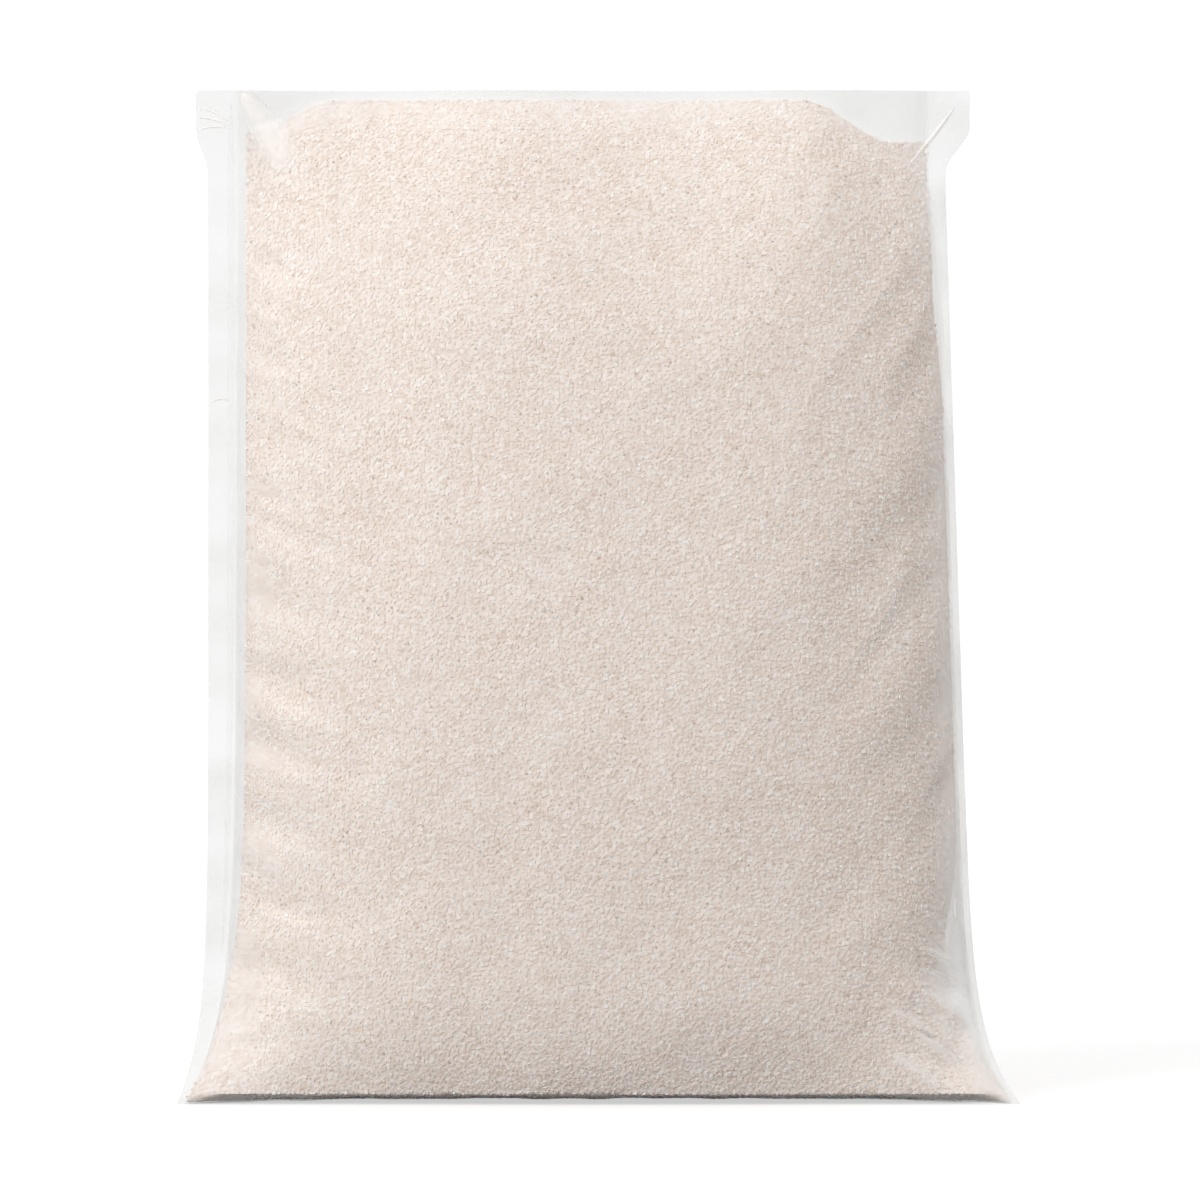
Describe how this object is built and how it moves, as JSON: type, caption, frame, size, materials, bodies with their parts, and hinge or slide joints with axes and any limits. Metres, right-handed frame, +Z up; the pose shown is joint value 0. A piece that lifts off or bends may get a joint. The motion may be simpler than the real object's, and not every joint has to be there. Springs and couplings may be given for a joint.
{
  "type": "bag of sugar",
  "caption": "Clear film bag packed full of pale raw sugar, standing on its flattened base, with a flat welded strip down one side, a top weld and pointed lower corners.",
  "frame": {"origin": "centre of the base, on the floor", "axes": "+Z up to the top weld, +X along the bag's width towards the narrow side edge, -Y out of the front panel"},
  "size_m": [0.1842, 0.05, 0.2225],
  "materials": {
    "sugar": "pale beige raw sugar crystals, seen through soft clear film",
    "film": "thin clear plastic film, glossy, a little hazy where it stands off the sugar"
  },
  "bodies": {
    "root": {"sugar_bag": "sugar"}
  },
  "joints": []
}
